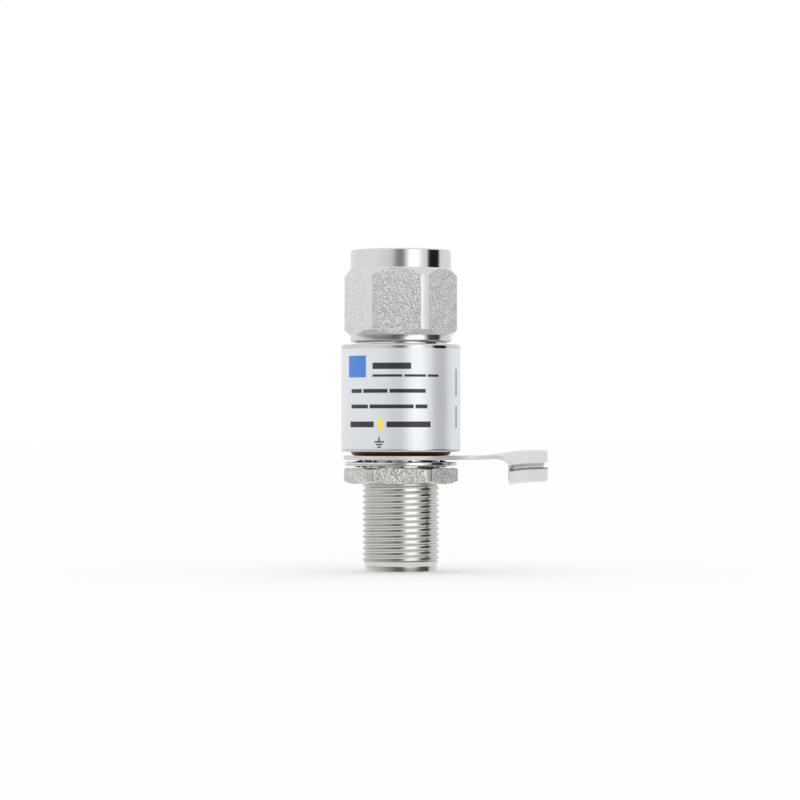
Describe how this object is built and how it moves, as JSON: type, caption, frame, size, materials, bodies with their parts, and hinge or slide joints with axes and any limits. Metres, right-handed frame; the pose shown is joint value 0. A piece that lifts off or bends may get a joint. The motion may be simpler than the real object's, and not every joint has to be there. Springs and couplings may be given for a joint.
{
  "type": "coax lightning arrestor",
  "caption": "Coaxial surge arrestor with a hexagonal coupling nut, a labelled barrel and a bulkhead jack with seal, ground lug, lock washer and nut.",
  "frame": {"origin": "on the axis, at the barrel's shoulder that seats on the panel", "axes": "+Z along the axis towards the plug's coupling nut, +X towards the ground lug's barrel"},
  "size_m": [0.0431, 0.025, 0.0672],
  "materials": {
    "nickel_plate": "satin nickel plate on brass",
    "white_bronze": "bright white bronze plate on brass",
    "tin_plate": "tin plate on copper sheet",
    "zinc_steel": "plated spring steel",
    "label_film": "satin printed film",
    "red_rubber": "smooth dark red silicone rubber",
    "silicone": "matt silicone rubber",
    "ptfe": "waxy white plastic",
    "gold_plate": "gold plate on beryllium copper",
    "silver_plate": "silver plate on brass",
    "spring_bronze": "bare phosphor bronze",
    "tinned_copper": "tinned copper",
    "ceramic": "fired alumina ceramic"
  },
  "bodies": {
    "arrestor": {"housing": "nickel_plate", "label": "label_film", "plug_shell": "white_bronze", "snap_ring": "spring_bronze", "plug_gasket": "silicone", "plug_pin": "gold_plate", "plug_insulator": "ptfe", "plug_retainer": "white_bronze", "centre_rod": "silver_plate", "jack_socket": "gold_plate", "jack_insulator": "ptfe", "jack_retainer": "white_bronze", "tube_inner_electrode": "tinned_copper", "tube_ceramic": "ceramic", "tube_outer_electrode": "tinned_copper", "tube_spring": "spring_bronze", "tube_plug": "nickel_plate", "tube_plug_seal": "silicone", "panel_seal": "red_rubber"},
    "coupling_nut": {"coupling_nut": "white_bronze"},
    "lock_washer": {"lock_washer": "zinc_steel"},
    "ground_lug": {"ground_lug": "tin_plate"},
    "bulkhead_nut": {"bulkhead_nut": "nickel_plate"}
  },
  "joints": [
    {"name": "coupling_nut_spin", "type": "hinge", "parent": "arrestor", "child": "coupling_nut", "pos_m": [0, 0, 0.02291], "axis": [0, 0, 1], "continuous": true},
    {"name": "washer_travel", "type": "slide", "parent": "arrestor", "child": "lock_washer", "axis": [0, 0, -1], "range_m": [0, 0.016]},
    {"name": "bulkhead_nut_spin", "type": "hinge", "parent": "lock_washer", "child": "bulkhead_nut", "pos_m": [0, 0, -0.00339], "axis": [0, 0, -1], "range_deg": [0, 4800]},
    {"name": "ground_lug_swivel", "type": "hinge", "parent": "lock_washer", "child": "ground_lug", "pos_m": [0, 0, -0.00081], "axis": [0, 0, 1], "continuous": true}
  ],
  "couplings": [
    {"joint": "washer_travel", "follows": "bulkhead_nut_spin", "m_per_rad": 0.00019098}
  ]
}
